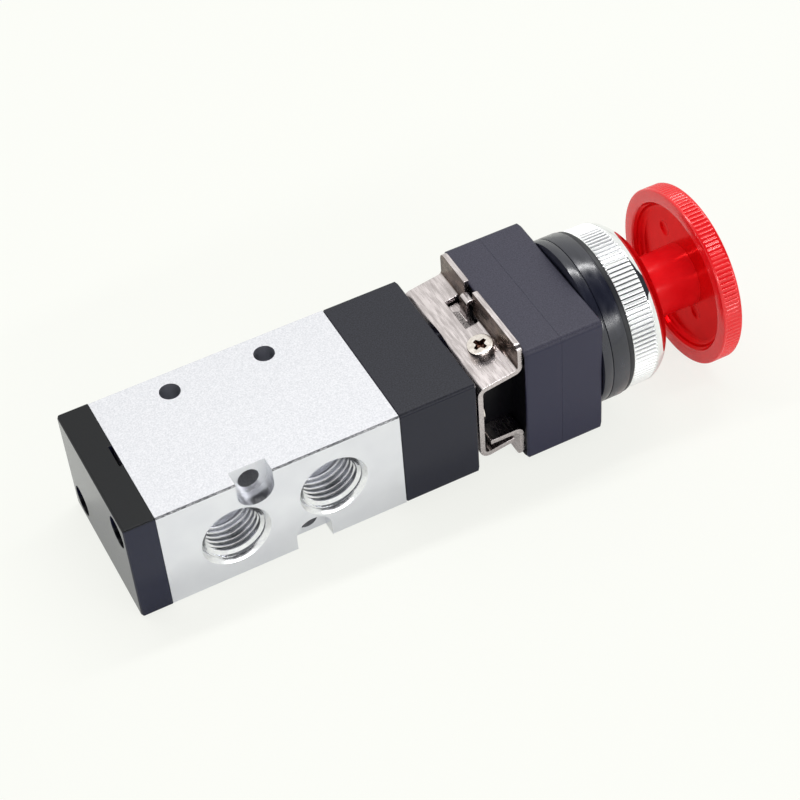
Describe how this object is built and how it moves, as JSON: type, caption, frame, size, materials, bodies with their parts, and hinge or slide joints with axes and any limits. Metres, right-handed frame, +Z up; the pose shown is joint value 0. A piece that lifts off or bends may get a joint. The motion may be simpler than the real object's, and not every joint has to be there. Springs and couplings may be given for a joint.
{
  "type": "push-pull button valve",
  "caption": "Spool valve in an aluminium block with threaded ports, worked by a red mushroom push-pull knob on a square panel operator.",
  "frame": {"origin": "centre of the valve body's bottom face", "axes": "+X along the spool axis towards the knob, +Z up, the outlet face with two ports towards -Y"},
  "size_m": [0.1389, 0.04, 0.04],
  "materials": {
    "aluminium": "blasted and clear anodised",
    "spool_aluminium": "turned",
    "black_moulding": "fine texture",
    "black_gloss": "smooth moulded",
    "white_moulding": "natural",
    "seal_rubber": "matte",
    "spring_steel": "bright",
    "screw_steel": "black oxide",
    "screw_nickel": "nickel plated",
    "nickel_sheet": "nickel plated sheet",
    "bush_brass": "turned",
    "barrel_zinc": "plated",
    "chrome_ring": "polished",
    "red_moulding": "glossy"
  },
  "bodies": {
    "housing": {"valve_body": "aluminium", "end_cover": "black_moulding", "cover_screws": "screw_steel", "return_spring": "spring_steel", "guide_block": "black_moulding", "guide_screws": "screw_steel", "pin_bush": "bush_brass", "pin_seal": "seal_rubber", "bracket": "nickel_sheet", "bracket_screws": "screw_nickel", "latch_plate": "nickel_sheet", "lower_clip": "nickel_sheet", "clamp_screw": "screw_nickel", "lower_clamp_screw": "screw_nickel", "operator_base": "black_moulding", "operator_body": "black_moulding", "block_screws": "screw_steel", "detent_carrier": "white_moulding", "detent_balls": "spring_steel", "detent_springs": "spring_steel", "detent_plugs": "screw_steel", "barrel": "barrel_zinc", "barrel_circlip": "spring_steel", "collar_ring": "black_gloss", "spacer_washer": "black_gloss", "panel_gasket": "seal_rubber", "ring_nut": "chrome_ring"},
    "button": {"push_pin": "spring_steel", "plunger_rod": "spring_steel", "rod_clip": "spring_steel", "plunger": "red_moulding", "mushroom_cap": "red_moulding"},
    "spool": {"spool": "spool_aluminium", "spool_seals": "seal_rubber"}
  },
  "joints": [
    {"name": "button_push", "type": "slide", "parent": "housing", "child": "button", "axis": [-1, 0, 0], "range_m": [0, 0.004]},
    {"name": "spool_slide", "type": "slide", "parent": "housing", "child": "spool", "axis": [-1, 0, 0], "range_m": [0, 0.004], "deforming": ["return_spring"]}
  ],
  "couplings": [
    {"joint": "spool_slide", "follows": "button_push", "ratio": 1}
  ]
}
